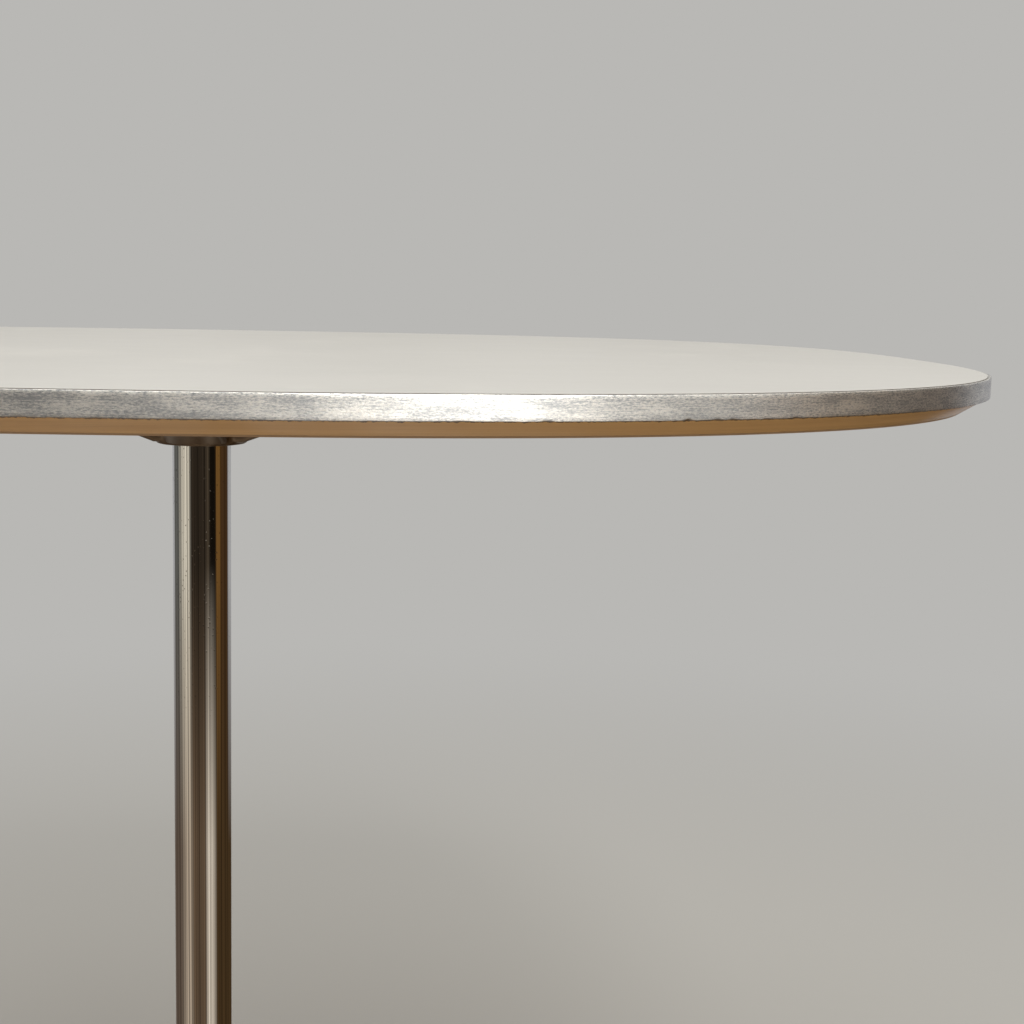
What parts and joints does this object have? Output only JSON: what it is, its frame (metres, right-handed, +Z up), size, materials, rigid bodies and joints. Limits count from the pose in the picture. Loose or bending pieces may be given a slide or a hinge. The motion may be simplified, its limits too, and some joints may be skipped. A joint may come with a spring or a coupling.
{
  "type": "bistro table",
  "caption": "Pedestal table with a rounded-square laminate top, an aluminium edge band over a bevelled beech lipping, a chromed column, cast star brackets and screw-in levelling glides.",
  "frame": {"origin": "on the floor, at the column's axis, at the middle of the footprint", "axes": "+Z up along the column, +X and +Y along the arms and towards the middles of the top's flat sides"},
  "size_m": [1, 1, 0.72],
  "materials": {
    "laminate": "satin high-pressure laminate with faint marks of use",
    "chipboard": "raw, unseen",
    "beech": "oiled, brown with age, fine grain along the edge",
    "veneer": "sealed flat veneer",
    "edge_aluminium": "brushed along its length, scratched and nicked",
    "cast_aluminium": "satin, fettled casting",
    "chrome": "polished, with small pits",
    "steel": "zinc plated",
    "black_plastic": "moulded, fine texture"
  },
  "bodies": {
    "table": {"laminate_sheet": "laminate", "core_panel": "chipboard", "edge_lipping": "beech", "backing_veneer": "veneer", "edge_band": "edge_aluminium", "top_spider": "cast_aluminium", "top_screw_1": "steel", "top_screw_2": "steel", "top_screw_3": "steel", "top_screw_4": "steel", "top_screw_5": "steel", "top_screw_6": "steel", "top_screw_7": "steel", "top_screw_8": "steel", "column_tube": "chrome", "tie_rod": "steel", "tie_rod_top_washer": "steel", "tie_rod_top_nut": "steel", "tie_rod_base_washer": "steel", "tie_rod_base_nut": "steel", "base_star": "cast_aluminium", "hub_cover": "black_plastic"},
    "foot_1": {"glide_pad_1": "black_plastic"},
    "foot_2": {"glide_pad_2": "black_plastic"},
    "foot_3": {"glide_pad_3": "black_plastic"},
    "foot_4": {"glide_pad_4": "black_plastic"},
    "stud_1": {"glide_stud_1": "steel"},
    "stud_2": {"glide_stud_2": "steel"},
    "stud_3": {"glide_stud_3": "steel"},
    "stud_4": {"glide_stud_4": "steel"}
  },
  "joints": [
    {"name": "foot_lift_1", "type": "slide", "parent": "table", "child": "foot_1", "axis": [0, 0, 1], "range_m": [-0.0081, 0]},
    {"name": "foot_lift_2", "type": "slide", "parent": "table", "child": "foot_2", "axis": [0, 0, 1], "range_m": [-0.0081, 0]},
    {"name": "foot_lift_3", "type": "slide", "parent": "table", "child": "foot_3", "axis": [0, 0, 1], "range_m": [-0.0081, 0]},
    {"name": "foot_lift_4", "type": "slide", "parent": "table", "child": "foot_4", "axis": [0, 0, 1], "range_m": [-0.0081, 0]},
    {"name": "stud_turn_1", "type": "hinge", "parent": "foot_1", "child": "stud_1", "pos_m": [0.334, 0, 0.01], "axis": [0, 0, 1], "range_deg": [-2304, 0]},
    {"name": "stud_turn_2", "type": "hinge", "parent": "foot_2", "child": "stud_2", "pos_m": [0, 0.334, 0.01], "axis": [0, 0, 1], "range_deg": [-2304, 0]},
    {"name": "stud_turn_3", "type": "hinge", "parent": "foot_3", "child": "stud_3", "pos_m": [-0.334, 0, 0.01], "axis": [0, 0, 1], "range_deg": [-2304, 0]},
    {"name": "stud_turn_4", "type": "hinge", "parent": "foot_4", "child": "stud_4", "pos_m": [0, -0.334, 0.01], "axis": [0, 0, 1], "range_deg": [-2304, 0]}
  ],
  "couplings": [
    {"joint": "foot_lift_1", "follows": "stud_turn_1", "m_per_rad": 0.00019894},
    {"joint": "foot_lift_2", "follows": "stud_turn_2", "m_per_rad": 0.00019894},
    {"joint": "foot_lift_3", "follows": "stud_turn_3", "m_per_rad": 0.00019894},
    {"joint": "foot_lift_4", "follows": "stud_turn_4", "m_per_rad": 0.00019894}
  ]
}
